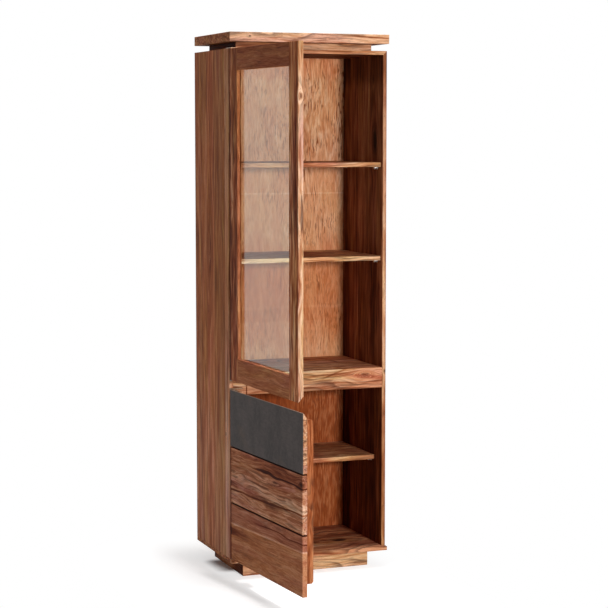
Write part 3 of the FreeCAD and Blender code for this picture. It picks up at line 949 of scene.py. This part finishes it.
@dataclass
class Carcass(Assembly):
    """The fixed box: panels, neck, plinth, rail and back.

    The boards of neck and plinth run across, each with the painted highlight of its front edge, painted shade on its
    left end and the painted shade of its left part, or from front to back, each with its lift, its tint and the
    painted shade of its front part; the left neck board's lift and tint are painted shade under the top board. Their
    seeds are a first one and a step.
    """

    screw: Piece
    wood: Timber = Timber()
    flat_wood: Timber = Timber(flat=3.2)
    top_wood: Timber = Timber(flat=1.5)
    side_wood: Timber = Timber(
        band=0.050, band_amount=0.5, streak=0.030, streak_length=0.45, streak_amount=0.16, ring=0.045,
        ring_amount=0.3, line=0.022, line_length=0.35, line_amount=0.45)
    inside_wood: Timber = Timber(
        band=0.055, band_amount=0.6, streak=0.024, streak_length=0.35, streak_amount=0.14, ring_amount=0.25,
        line=0.020, line_length=0.3, line_amount=0.25)
    # name, painted highlight on its front edge, and painted shade on its left part
    cross_boards: tuple[tuple[str, float | None, float], ...] = (
        ("neck_front", 0.17, -0.09), ("neck_back", None, -0.09), ("plinth_front", 0.39, -0.21),
        ("plinth_back", None, -0.09))
    cross_seeds: Pair = (3.5, 2.17)
    cross_shade: Pair = (-0.2, 0.3)
    # painted shade on the faces that look left
    cross_left_shade: float = 0.30
    cross_tint: Colour = (1.04, 0.97, 0.94)
    # name, lift, tint and painted shade on its front part; the left neck board's dark lift and tint are painted shade
    # under the top board
    deep_boards: tuple[tuple[str, float, Colour, float], ...] = (
        ("neck_left", -0.50, (1.0, 0.68, 0.38), 0.0), ("neck_right", 0.0, PLAIN, 0.0),
        ("plinth_left", 0.0, PLAIN, -0.42), ("plinth_right", 0.0, PLAIN, 0.0), ("plinth_brace", 0.0, PLAIN, 0.0))
    deep_seeds: Pair = (21.7, 1.71)
    deep_shade: Pair = (-0.14, 0.18)
    back_screws: int = 5
    back_reach: float = 0.25
    boards: tuple[Board, ...] = (
        # painted highlight on the front edge
        Board("top_board", top_wood, Grain.SIDEWAYS, 1.3, front=0.34, tint=(1.05, 0.99, 0.91), joints=(-0.06, 0.07),
              knots=(Knot((-0.222, -0.2, 1.886), 0.004, 0.006, 0.85), Knot((0.08, -0.2, 1.883), 0.003, 0.018, 0.4)),
              stripes=(Stripe((0.053, 0.0, 1.0), 1.9017, 0.005, -0.3, along=RIGHT, start=0.13),)),
        # painted highlight on the front edge and painted shade on the underside
        Board("carcass_top", wood, Grain.SIDEWAYS, 7.8, front=0.15, tint=(1.04, 0.95, 0.86), inner=DOWN,
              inner_shade=0.38),
        # painted highlight on the front face
        Board(
            "divider_rail", wood, Grain.SIDEWAYS, 9.98, front=0.09, knots=(
                Knot((0.213, -0.18, 0.695), 0.010, 0.030, 0.3, 0.03),), stripes=(
                Stripe(RIGHT, 0.0, 0.32, 0.0, (0.98, 1.0, 0.95)),
                Stripe(RIGHT, 0.22, 0.15, 0.03, (1.06, 0.92, 0.90)),
                Stripe((0.10, 0.0, 1.0), 0.712, 0.014, -0.16, (1.02, 0.90, 1.0), along=RIGHT, start=0.12),
                Stripe(UP, 0.718, 0.007, 0.16, along=RIGHT, end=0.08),
                Stripe((-0.33, 0.0, 0.94), 0.633, 0.006, -0.24, along=RIGHT, start=0.05, end=0.15, fade=0.03),
                Stripe(RIGHT, -0.2315, 0.004, -0.5, wave=0.0))),
        Board(
            "divider_floor", flat_wood, Grain.SIDEWAYS, 12.15, lift=0.15, tint=(1.03, 1.0, 0.95),
            joints=(-0.08, 0.0, 0.09), stripes=(
                # painted shade along the front of the floor, behind the rail
                Stripe(BACK, -0.180, 0.045, -0.34, wave=0.2),
                Stripe(BACK, 0.12, 0.10, -0.08, (1.03, 0.94, 0.90)),
                Stripe(BACK, -0.04, 0.07, 0.05, (0.96, 1.02, 0.95)))),
        # painted highlight on the front edge
        Board("base_panel", flat_wood, Grain.SIDEWAYS, 31.9, lift=0.02, front=0.04, tint=(1.06, 0.97, 0.92),
              joints=(-0.09, 0.04), knots=(Knot((0.170, -0.047, 0.074), 0.008, 0.036, 0.95, 0.02),)),
        # painted shade on the inner face
        Board(
            "left_side", side_wood, Grain.UPRIGHT, 3.3, inner=RIGHT, inner_shade=0.2, tint=(1.05, 0.96, 0.93),
            joints=(-0.138, -0.019, 0.063), knots=(
                Knot((-0.295, 0.035, 1.13), 0.022, 0.16, 0.30, 0.05),
                Knot((-0.295, -0.145, 1.564), 0.006, 0.014, 0.5),
                Knot((-0.295, -0.141, 1.670), 0.005, 0.014, 0.4),
                Knot((-0.295, -0.142, 0.509), 0.008, 0.012, 0.6)), stripes=(
                Stripe(BACK, -0.159, 0.042, 0.10, (0.98, 1.02, 1.08), 0.05, 0.0),
                Stripe(BACK, -0.0785, 0.119, -0.03, (0.97, 1.01, 0.90), 0.02, 0.0),
                Stripe(BACK, 0.022, 0.082, -0.02, (1.05, 0.95, 0.90), 0.02, 0.0),
                Stripe(BACK, 0.131, 0.136, 0.0, (1.03, 0.97, 0.94), 0.02, 0.0),
                Stripe(BACK, 0.10, 0.05, 0.03, (0.93, 1.02, 1.0), start=1.60, fade=0.15),
                Stripe(BACK, 0.198, 0.012, -0.25, wave=0.0),
                Stripe(UP, 1.05, 0.5, -0.03, wave=0.3),
                # painted light from the floor: the lower part paler and cooler
                Stripe(UP, 0.25, 0.75, 0.09, (0.98, 1.03, 1.14), wave=0.3))),
        # painted shade on the inner face, a little painted light on it below the divider, and a painted highlight on
        # the front edge
        Board(
            "right_side", inside_wood, Grain.UPRIGHT, 8.9, inner=LEFT, inner_shade=0.22, tone_and_shade_below=-0.06, front=0.14,
            joints=(-0.125, -0.052, 0.049), knots=(
                Knot((0.281, -0.108, 1.530), 0.042, 0.075, 0.95, 0.04),
                Knot((0.281, -0.095, 1.75), 0.013, 0.03, 0.5),
                Knot((0.292, -0.18, 0.708), 0.007, 0.009, 0.8)), stripes=(
                Stripe(BACK, -0.092, 0.055, -0.26, (0.95, 0.90, 1.05), start=0.76, end=1.12),
                Stripe(BACK, -0.092, 0.070, -0.06),
                Stripe(UP, 1.62, 0.5, 0.0, (1.02, 1.14, 1.16), wave=0.3),
                Stripe(BACK, -0.052, 0.014, 0.08, (1.0, 1.05, 0.9), start=1.45),
                Stripe(BACK, 0.049, 0.006, 0.20, wave=0.0, start=0.75, end=1.10),
                # painted shade in the back corner and, in the next stripe, under the top
                Stripe(BACK, 0.170, 0.080, -0.16, wave=0.2),
                Stripe(UP, 1.80, 0.12, -0.16, wave=0.3),
                Stripe(RIGHT, 0.2945, 0.006, -0.15, (1.0, 0.95, 1.08), 0.2, 0.0),
                Stripe(UP, 0.30, 0.7, -0.20, wave=0.3))),
        # painted shade on the front face below the divider, partly a darker lower sheet
        Board(
            "back_panel", Veneer(), Grain.UPRIGHT, 5.7, inner=FRONT, tone_and_shade_below=0.46, tint=(1.03, 0.95, 0.92), stripes=(
                # painted shade below the second shelf, which also shows on the rear face
                Stripe(UP, 0.95, 0.30, -0.14, (1.02, 0.95, 0.9)),
                Stripe(UP, 1.80, 0.08, -0.08, (1.03, 0.95, 0.93)),
                Stripe(UP, 1.25, 0.20, 0.05),
                Stripe(RIGHT, -0.15, 0.34, -0.07, end=1.45),
                Stripe(RIGHT, -0.12, 0.40, -0.02, soft=0.15, calm=0.30),
                Stripe(UP, 1.03, 0.72, 0.0, soft=0.15, calm=0.20),
                Stripe(UP, 1.60, 0.46, 0.03, soft=0.15, calm=-0.35, along=RIGHT, start=0.07, fade=0.02),
                Stripe(UP, 1.334, 0.0045, 0.14, wave=0.0),
                Stripe(UP, 0.913, 0.010, 0.06, wave=1.5),
                Stripe(UP, 0.79, 0.14, 0.08, wave=0.0, soft=0.03, along=RIGHT, end=0.19, fade=0.003),
                Stripe(RIGHT, 0.200, 0.004, -0.14, wave=0.5, start=1.12, end=1.43),
                Stripe(RIGHT, 0.245, 0.004, -0.16, wave=0.5, start=1.33, end=1.42),
                # painted glint: a small pale spot near the top
                Stripe(RIGHT, 0.243, 0.020, 0.16, start=1.762, end=1.776, fade=0.008))))

    def dress(self) -> None:
        """Gives the neck, the plinth and then every other board a finish of its own."""
        first, step = self.cross_seeds
        for index, (node, front, tone) in enumerate(self.cross_boards):
            Board(node, self.wood, Grain.SIDEWAYS, first + index * step, front=front, inner=LEFT,
                  inner_shade=self.cross_left_shade, tint=self.cross_tint,
                  stripes=(Stripe(RIGHT, *self.cross_shade, tone),)).dress()
        first, step = self.deep_seeds
        for index, (node, lift, tint, tone) in enumerate(self.deep_boards):
            Board(node, self.wood, Grain.BACKWARD, first + index * step, None, lift, tint,
                  stripes=(Stripe(BACK, *self.deep_shade, tone),)).dress()
        super().dress()

    def fasten(self) -> None:
        """Screws the back panel to the divider's floor, from behind."""
        floor_low, floor_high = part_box("divider_floor")
        height = (floor_low[2] + floor_high[2]) / 2
        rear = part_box("back_panel")[1][1]
        for index in range(self.back_screws):
            across = -self.back_reach + index * 2.0 * self.back_reach / (self.back_screws - 1)
            fit_copy(self.screw, f"back_screw_{index + 1}", looking(BACK, (across, rear, height)), "carcass")


@dataclass
class Shelving(Assembly):
    """The three shelves, with the painted highlight on their front edges, and the pegs that carry them."""

    peg: Piece
    wood: Timber = Timber(flat=3.2)
    # name and painted highlight on the front edge
    shelves: tuple[tuple[str, float], ...] = (
        ("upper_shelf_top", 0.10), ("upper_shelf_bottom", 0.36), ("lower_shelf", 0.07))
    shades: tuple[Stripe, ...] = (
        Stripe(RIGHT, 0.21, 0.22, 0.06, (1.0, 1.02, 0.98)), Stripe(RIGHT, 0.03, 0.14, -0.06, (1.03, 0.92, 0.95)))
    seeds: Pair = (41.3, 3.19)
    tint: Colour = (1.03, 1.0, 0.96)
    joints: Triple = (-0.07, 0.03, 0.11)
    peg_inset: float = 0.032
    peg_drop: float = 0.0034

    def dress(self) -> None:
        """Gives the shelves a finish."""
        first, step = self.seeds
        for index, (node, front) in enumerate(self.shelves):
            Board(node, self.wood, Grain.SIDEWAYS, first + index * step, front=front, tint=self.tint,
                  joints=self.joints, stripes=self.shades).dress()

    def fasten(self) -> None:
        """Puts four pegs below each shelf."""
        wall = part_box("right_side")[0][0]
        for node, _ in self.shelves:
            low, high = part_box(node)
            for hand, side in (("left", -1), ("right", 1)):
                for depth, y in (("front", low[1] + self.peg_inset), ("back", high[1] - self.peg_inset)):
                    turned = Matrix(((0.0, 0.0, -side, side * wall), (0.0, side, 0.0, y),
                                     (1.0, 0.0, 0.0, low[2] - self.peg_drop), (0.0, 0.0, 0.0, 1.0)))
                    peg = fit_copy(self.peg, f"{node}_{hand}_{depth}_peg", turned, "carcass")
                    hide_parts("shelf_pins")


@dataclass
class UpperDoor(Assembly):
    """The framed glass door."""

    pin: Piece
    wood: Timber = Timber(streak=0.017, streak_amount=0.30, thread_amount=0.36, line=0.013, line_length=0.25,
                          line_amount=0.7, ring_amount=0.4)
    plain_wood: Timber = Timber(ring_amount=0.16, band_amount=0.55, streak_amount=0.16, thread_amount=0.12,
                                line_amount=0.35)
    bead_face: float = -0.182
    bead_middle: float = 0.2255
    bead_low: float = 0.7815
    bead_high: float = 1.7725
    bead_end: float = 0.035
    level_end: float = 0.0525
    upright_pins: int = 7
    level_pins: int = 3
    boards: tuple[Board, ...] = (
        # painted shade on the front-facing faces; the first stripe is painted shade along the hinge edge
        Board(
            "upper_door_hinge_stile", wood, Grain.UPRIGHT, 51.1, UPPER_HINGE, -0.07, (1.03, 0.90, 0.88), -0.08,
            stripes=(
                Stripe(RIGHT, -0.294, 0.014, -0.40, wave=0.2),
                Stripe(RIGHT, -0.221, 0.008, 0.02, (0.98, 1.09, 0.98), 0.3, 0.0, calm=0.5),
                Stripe(BACK, -0.1878, 0.0036, -0.35, wave=0.0))),
        # painted highlight on the free edge
        Board(
            "upper_door_free_stile", wood, Grain.UPRIGHT, 53.7, UPPER_HINGE, 0.07, front=0.17, knots=(
                Knot((0.294, -0.191, 1.673), 0.006, 0.014, 0.45, 0.02),), stripes=(
                Stripe(RIGHT, 0.252, 0.070, -0.01, (1.06, 0.95, 0.87), 0.05, 0.0),
                Stripe(RIGHT, 0.252, 0.070, 0.04, (1.04, 1.0, 0.93), 0.05, 0.0, start=1.5),
                Stripe(RIGHT, 0.2925, 0.008, -0.05, PLAIN, 0.2, 0.0, start=1.5),
                Stripe(RIGHT, 0.278, 0.018, -0.18, (1.0, 0.92, 0.90), 0.3))),
        Board("upper_door_top_rail", plain_wood, Grain.SIDEWAYS, 55.9, UPPER_HINGE, -0.12, (1.01, 0.98, 0.92)),
        Board("upper_door_bottom_rail", plain_wood, Grain.SIDEWAYS, 58.3, UPPER_HINGE, -0.05, (1.02, 0.96, 0.95)),
        Board("upper_door_beads", wood, Grain.UPRIGHT, 60.1, UPPER_HINGE, 0.0, (1.04, 0.91, 0.76)))

    def dress(self) -> None:
        """Gives the frame, the beads and the pane a finish."""
        super().dress()
        dress("upper_door_glass", Pane().cut("clear_pane"))

    def fasten(self) -> None:
        """Drives the small pins that hold the glazing beads."""
        places = []
        span = self.bead_high - self.bead_low - 2 * self.bead_end
        for step in range(self.upright_pins):
            z = self.bead_low + self.bead_end + step * span / (self.upright_pins - 1)
            places += [(-self.bead_middle, z), (self.bead_middle, z)]
        for step in range(self.level_pins):
            x = (self.bead_middle - self.level_end) * (step - 1)
            places += [(x, self.bead_low), (x, self.bead_high)]
        for index, (x, z) in enumerate(places):
            spot = UPPER_HINGE.opened() @ looking(BACK, (x, self.bead_face, z))
            fit_copy(self.pin, f"bead_pin_{index + 1}", spot, "upper_door")


# painted shade along the hinge edge, where the gap beside the side panel lies in shade
HINGE_GAP_SHADE = Stripe(RIGHT, -0.294, 0.016, -0.40, wave=0.2)
PLUM, RUST = (0.95, 0.93, 1.05), (1.06, 0.91, 0.75)


@dataclass
class LowerDoor(Assembly):
    """The boarded door with its slate and battens."""

    screw: Piece
    wood: Timber = Timber(olive=(0.98, 0.99, 0.92), plum=(0.90, 0.80, 0.92), streak_amount=0.20)
    plain_wood: Timber = Timber(olive=(1.0, 0.98, 0.91), plum=(0.93, 0.86, 0.93), ring_amount=0.14, band_amount=0.36,
                                streak_amount=0.14, thread_amount=0.12, line_amount=0.32)
    batten_face: float = -0.152
    batten_middles: Pair = (-0.201, 0.245)
    screw_heights: tuple[float, ...] = (0.150, 0.236, 0.316, 0.436, 0.516, 0.612)
    boards: tuple[Board, ...] = (
        # painted highlight on the free edge
        Board(
            "lower_door_bottom_board", plain_wood, Grain.SIDEWAYS, 71.3, LOWER_HINGE, 0.0, (1.02, 0.98, 0.96), 0.08,
            knots=(Knot((0.105, -0.199, 0.262), 0.012, 0.06, 0.30, 0.03),), stripes=(
                HINGE_GAP_SHADE, Stripe(UP, 0.2767, 0.006, -0.9, wave=0.0),
                Stripe((-0.0284, 0.0, 1.0), 0.245, 0.066, -0.07, (0.96, 0.97, 1.22), 0.05, 0.0),
                Stripe(UP, 0.247, 0.005, -0.34, wave=7.0, along=RIGHT, start=-0.06),
                Stripe((-0.0284, 0.0, 1.0), 0.2125, 0.006, 0.24, wave=0.0),
                Stripe(UP, 0.180, 0.024, -0.34, PLUM, along=RIGHT, end=-0.20))),
        # painted highlight on the free edge
        Board(
            "lower_door_middle_board", wood, Grain.SIDEWAYS, 74.2, LOWER_HINGE, 0.03, (1.0, 0.98, 1.06), 0.12, knots=(
                Knot((0.082, -0.199, 0.411), 0.005, 0.035, 0.7, 0.008),
                Knot((0.285, -0.199, 0.440), 0.012, 0.02, 0.8),
                Knot((-0.270, -0.199, 0.390), 0.008, 0.03, 0.5)), stripes=(
                HINGE_GAP_SHADE, Stripe(UP, 0.474, 0.006, -0.9, wave=0.0),
                Stripe((0.039, 0.0, 1.0), 0.362, 0.030, 0.18),
                Stripe((0.02, 0.0, 1.0), 0.342, 0.020, -0.12, PLUM, along=RIGHT, end=0.0),
                Stripe((-0.03, 0.0, 1.0), 0.334, 0.006, -0.50, wave=5.0),
                Stripe(UP, 0.430, 0.006, -0.45, wave=8.0, along=RIGHT, start=-0.10),
                Stripe(UP, 0.448, 0.040, -0.28, PLUM, along=RIGHT, start=-0.02))),
        # painted highlight on the free edge
        Board(
            "lower_door_top_board", wood, Grain.SIDEWAYS, 77.1, LOWER_HINGE, front=0.18, knots=(
                Knot((0.294, -0.19, 0.538), 0.008, 0.008, 0.55), Knot((0.294, -0.19, 0.490), 0.006, 0.008, 0.55))),
        Board("lower_door_hinge_batten", wood, Grain.UPRIGHT, 81.7, LOWER_HINGE, -0.20, RUST),
        Board("lower_door_free_batten", wood, Grain.UPRIGHT, 84.0, LOWER_HINGE, -0.20, RUST))

    def dress(self) -> None:
        """Gives the boards, the battens and the slate a finish."""
        super().dress()
        dress("slate_panel", Slate().cut("cleft_slate"))

    def fasten(self) -> None:
        """Screws the battens to the boards, two screws to each board."""
        for column, x in zip(("hinge", "free"), self.batten_middles):
            for index, z in enumerate(self.screw_heights):
                spot = LOWER_HINGE.opened() @ looking(BACK, (x, self.batten_face, z))
                fit_copy(self.screw, f"{column}_batten_screw_{index + 1}", spot, "lower_door")


@dataclass
class Pivots(Assembly):
    """The door pivots' metal and their bearing rings."""

    screw: Piece
    steel: Material
    leaf_screws: Pair = (-0.273, -0.252)
    leaf_middle: float = 0.0015
    plate_screws: Pair = (-0.274, -0.256)
    plate_middles: tuple[tuple[str, float], ...] = (("top_pivot_plate", -0.164), ("base_pivot_plate", -0.1900))

    def dress(self) -> None:
        """Gives the plates, leaves, pins and rings a finish."""
        for node in ("top_pivot_plate", "upper_rail_pivot_plate", "lower_rail_pivot_plate", "base_pivot_plate",
                     "pivot_pins", "rail_cross_pin", "upper_door_top_leaf", "upper_door_bottom_leaf",
                     "lower_door_top_leaf", "lower_door_bottom_leaf"):
            dress(node, self.steel)
        dress("pivot_washers", BEARING.cut("bearing_plastic"))

    def fasten(self) -> None:
        """Screws the leaves to the doors and the plates to the carcass."""
        for body, hinge in (("upper_door", UPPER_HINGE), ("lower_door", LOWER_HINGE)):
            for end, way in (("top", UP), ("bottom", DOWN)):
                node = f"{body}_{end}_leaf"
                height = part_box(node)[1 if way == UP else 0][2]
                for index, x in enumerate(self.leaf_screws):
                    spot = looking(way, (x, hinge.axis[1] + self.leaf_middle, height))
                    fit_copy(self.screw, f"{node}_screw_{index + 1}", hinge.opened() @ spot, body)
        for node, y in self.plate_middles:
            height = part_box(node)[1][2]
            for index, x in enumerate(self.plate_screws):
                fit_copy(self.screw, f"{node}_screw_{index + 1}", looking(UP, (x, y, height)), "carcass")


@dataclass
class Studio:
    """The floor, the light and the camera."""

    floor_size: float = 30.0
    floor_drop: float = 0.0002
    floor_colour: Colour = (0.80, 0.80, 0.80)
    floor_lift: Pair = (0.0, 0.55)
    lift_reach: float = 0.06
    core_middle: Triple = (-0.245, 0.025, 0.0)
    core_half: Triple = (0.010, 0.060, 1.0)
    # a painted shadow streak on the floor, beside the open lower door
    shadow_streak_across: Triple = (1.0, 0.134, 0.0)
    shadow_streak_at: float = -0.360
    shadow_streak_half: float = 0.040
    shadow_streak_depth: float = 0.13
    shadow_streak_span: Pair = (0.0, -0.12)
    footprint_middle: Triple = (-0.14, -0.285, 0.0)
    footprint_half: Triple = (0.16, 0.485, 1.0)
    shadow_fade: Pair = (0.0, 0.42)
    key_power: float = 235.0
    key_place: Triple = (0.59, -6.2, 1.75)
    key_size: float = 0.5
    top_power: float = 120.0
    top_place: Triple = (0.05, -0.15, 4.6)
    top_size: float = 0.6
    aim: Triple = (0.0, 0.0, 1.0)
    fill: float = 0.29
    lens: float = 106.96
    sensor: float = 36.0
    far_end: float = 100.0
    eye: Triple = (-2.2582, -6.0753, 1.5612)
    tilt: float = 84.551
    pan: float = -20.81

    def floor(self) -> None:
        """Lays the pale floor, which stays white to the eye but keeps the shadow, with a painted shadow streak beside
        the open lower door.
        """
        clear_selection()
        bpy.ops.mesh.primitive_plane_add(size=self.floor_size, location=(0.0, 0.0, -self.floor_drop))
        ground = bpy.context.object
        ground.name = "studio_floor"
        bench = Bench("studio_floor")
        spot, seen = bench.spot(), bench.seen()
        beside = self.away(bench, spot, self.core_middle, self.core_half)
        level = bench.spread(beside, 0.0, self.lift_reach, *self.floor_lift)
        # painted shadow: a soft dark streak in front, fading out towards the back
        gap = bench.arrow("DOT_PRODUCT", spot, self.shadow_streak_across)
        gap = bench.sum("ABSOLUTE", bench.sum("SUBTRACT", gap, self.shadow_streak_at))
        streak = bench.spread(gap, 0.0, self.shadow_streak_half, self.shadow_streak_depth, 0.0)
        depth = bench.arrow("DOT_PRODUCT", spot, BACK)
        streak = bench.sum("MULTIPLY", streak, bench.spread(depth, *self.shadow_streak_span))
        plain = bench.shader("BsdfDiffuse", Color=self.floor_colour)
        lift = bench.sum("MULTIPLY", seen, bench.sum("SUBTRACT", level, streak))
        near = bench.shader("AddShader", plain, bench.shader("Emission", Strength=lift))
        far = self.away(bench, spot, self.footprint_middle, self.footprint_half)
        share = bench.sum("MULTIPLY", seen, bench.spread(far, *self.shadow_fade))
        white = bench.shader("Emission")
        ground.data.materials.append(bench.done(bench.shader("MixShader", share, near, white)))

    def away(self, bench: Bench, spot: Socket, middle: Triple, half: Triple) -> Socket:
        """Finds how far a place on the floor lies from a rectangle.

        Args:
            bench: The material in work.
            spot: The place on the floor.
            middle: The rectangle's middle.
            half: Half of its width and depth.

        Returns:
            The distance's socket.
        """
        apart = bench.arrow("ABSOLUTE", bench.arrow("SUBTRACT", spot, middle))
        apart = bench.arrow("SUBTRACT", apart, half)
        return bench.arrow("LENGTH", bench.arrow("MAXIMUM", apart))

    def lamp(self, name: str, power: float, place: Triple, size: float) -> None:
        """Hangs one soft square lamp that looks at the cabinet's middle.

        Args:
            name: The lamp's name.
            power: Its power in watts.
            place: Where it hangs.
            size: Its width.
        """
        panel = bpy.data.lights.new(name, "AREA")
        panel.shape = "SQUARE"
        panel.size = size
        panel.energy = power
        holder = bpy.data.objects.new(name, panel)
        holder.location = place
        holder.rotation_euler = (Vector(self.aim) - Vector(place)).to_track_quat("-Z", "Y").to_euler()
        bpy.context.collection.objects.link(holder)

    def light(self) -> None:
        """Sets the two soft lamps and the even light all round."""
        self.lamp("key", self.key_power, self.key_place, self.key_size)
        self.lamp("overhead", self.top_power, self.top_place, self.top_size)
        bench = Bench("studio", Holder.WORLD)
        level = bench.add("MapRange", bench.seen(), To_Min=self.fill).outputs[0]
        bpy.context.scene.world = bench.done(bench.shader("Background", Color=PLAIN, Strength=level))
        bpy.context.scene.view_settings.view_transform = "Standard"

    def camera(self) -> None:
        """Stands the camera where the picture is taken from."""
        lens = bpy.data.cameras.new("camera")
        lens.sensor_width = self.sensor
        lens.lens = self.lens
        lens.clip_end = self.far_end
        eye = bpy.data.objects.new("camera", lens)
        eye.location = self.eye
        eye.rotation_euler = (math.radians(self.tilt), 0.0, math.radians(self.pan))
        bpy.context.collection.objects.link(eye)
        bpy.context.scene.camera = eye


def main() -> None:
    """Dresses the cabinet piece by piece and sets up the studio."""
    logging.basicConfig(level=logging.INFO, format="%(name)s: %(message)s")
    steel, bronzed = Fitting().cut("satin_steel"), BRONZED.cut("bronzed_steel")
    screw, peg, pin = ScrewHead(steel).model(), ShelfPeg(steel).model(), BeadPin(bronzed).model()
    for part in (Carcass(screw), Shelving(peg), UpperDoor(pin), LowerDoor(screw), Pivots(screw, bronzed)):
        part.dress()
        part.fasten()
    for master in (screw, peg, pin):
        bpy.data.objects.remove(master, do_unlink=True)
    studio = Studio()
    studio.floor()
    studio.light()
    studio.camera()


if __name__ == "__main__":
    main()
